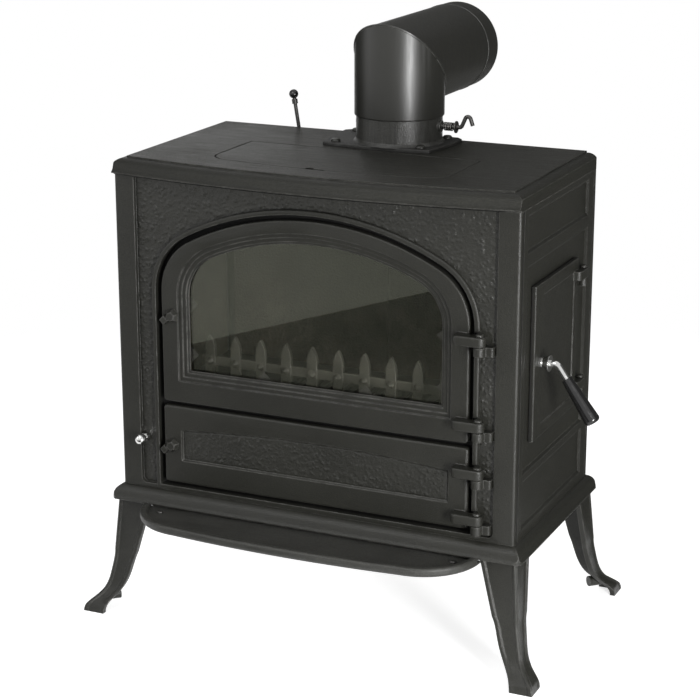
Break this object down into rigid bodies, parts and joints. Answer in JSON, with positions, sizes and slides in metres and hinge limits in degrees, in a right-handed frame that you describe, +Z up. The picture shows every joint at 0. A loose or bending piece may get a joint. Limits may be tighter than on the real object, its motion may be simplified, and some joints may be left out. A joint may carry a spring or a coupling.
{
  "type": "wood burning stove",
  "caption": "Cast wood burning stove on splayed legs, with glazed fire door, ash door, side loading door, hot plate, flue elbow with damper and air controls.",
  "frame": {"origin": "on the floor, under the centre of the body", "axes": "+Z up, +Y to the back, the way the flue outlet points, and +X to the right of someone who faces the fire door"},
  "size_m": [0.8597, 0.6719, 0.9902],
  "materials": {
    "stove_paint": "matte heat-proof paint on cast iron",
    "cast_inside": "bare casting, sooty",
    "flue_paint": "satin black steel",
    "bright_chrome": "polished",
    "dark_steel": "oxidised",
    "spring_steel": "dull",
    "grip_plastic": "glossy heat-proof resin",
    "stove_glass": "dark tinted ceramic glass",
    "rope_seal": "knitted glass rope",
    "fire_brick": "vermiculite board",
    "pan_steel": "sheet steel"
  },
  "bodies": {
    "stove_body": {"base_plate": "stove_paint", "front_plate": "stove_paint", "left_plate": "stove_paint", "right_plate": "stove_paint", "back_plate": "stove_paint", "top_plate": "stove_paint", "leg_front_left": "stove_paint", "leg_front_right": "stove_paint", "leg_back_left": "stove_paint", "leg_back_right": "stove_paint", "ash_shelf": "stove_paint", "shelf_brackets": "stove_paint", "flue_collar": "stove_paint", "collar_bolts": "stove_paint", "front_hinge_pins": "stove_paint", "side_hinge_pins": "stove_paint", "flue_elbow": "flue_paint", "hearth_plate": "cast_inside", "fire_grate": "cast_inside", "log_fence": "cast_inside", "baffle_plate": "cast_inside", "leg_bolts": "dark_steel", "shelf_screws": "dark_steel", "lever_pivot_bolt": "dark_steel", "tie_rods": "dark_steel", "brick_back": "fire_brick", "brick_left": "fire_brick", "ash_pan": "pan_steel", "ash_pan_runners": "pan_steel"},
    "fire_door": {"fire_door": "stove_paint", "fire_door_seal": "rope_seal", "door_glass": "stove_glass", "glass_gasket": "rope_seal", "glass_clips": "dark_steel", "clip_screws": "dark_steel"},
    "fire_door_latch": {"fire_door_latch": "stove_paint", "fire_latch_washer": "dark_steel"},
    "ash_door": {"ash_door": "stove_paint", "ash_door_seal": "rope_seal"},
    "ash_door_latch": {"ash_door_latch": "stove_paint", "ash_latch_washer": "dark_steel"},
    "side_door": {"side_door": "stove_paint", "side_door_seal": "rope_seal"},
    "side_handle": {"side_handle_stem": "bright_chrome", "side_handle_grip": "grip_plastic", "side_latch_cam": "dark_steel"},
    "hot_plate": {"hot_plate": "stove_paint"},
    "flue_damper": {"damper_plate": "cast_inside", "damper_spindle": "dark_steel", "damper_spring": "spring_steel", "damper_washer": "dark_steel"},
    "air_control": {"air_knob": "bright_chrome", "air_rod": "dark_steel"},
    "rear_air_lever": {"rear_shutter": "stove_paint", "air_lever": "dark_steel", "air_lever_ball": "grip_plastic"}
  },
  "joints": [
    {"name": "fire_door_hinge", "type": "hinge", "parent": "stove_body", "child": "fire_door", "pos_m": [0.2905, -0.19, 0.4], "axis": [0, 0, 1], "range_deg": [0, 110]},
    {"name": "fire_latch_turn", "type": "hinge", "parent": "fire_door", "child": "fire_door_latch", "pos_m": [-0.249, -0.178, 0.527], "axis": [0, -1, 0], "range_deg": [0, 80]},
    {"name": "ash_door_hinge", "type": "hinge", "parent": "stove_body", "child": "ash_door", "pos_m": [0.2905, -0.19, 0.3], "axis": [0, 0, 1], "range_deg": [0, 110]},
    {"name": "ash_latch_turn", "type": "hinge", "parent": "ash_door", "child": "ash_door_latch", "pos_m": [-0.254, -0.178, 0.303], "axis": [0, -1, 0], "range_deg": [0, 80]},
    {"name": "side_door_hinge", "type": "hinge", "parent": "stove_body", "child": "side_door", "pos_m": [0.359, 0.101, 0.5], "axis": [0, 0, 1], "range_deg": [0, 110]},
    {"name": "side_handle_turn", "type": "hinge", "parent": "side_door", "child": "side_handle", "pos_m": [0.36, -0.097, 0.501], "axis": [-1, 0, 0], "range_deg": [0, 90]},
    {"name": "hot_plate_lift", "type": "slide", "parent": "stove_body", "child": "hot_plate", "axis": [0, 0, 1], "range_m": [0, 0.04]},
    {"name": "damper_turn", "type": "hinge", "parent": "stove_body", "child": "flue_damper", "pos_m": [0.028, 0.112, 0.818], "axis": [1, 0, 0], "range_deg": [0, 90]},
    {"name": "air_knob_pull", "type": "slide", "parent": "stove_body", "child": "air_control", "axis": [0, -1, 0], "range_m": [0, 0.025]},
    {"name": "rear_lever_turn", "type": "hinge", "parent": "stove_body", "child": "rear_air_lever", "pos_m": [-0.176, 0.195, 0.65], "axis": [0, 1, 0], "range_deg": [0, 30]}
  ]
}
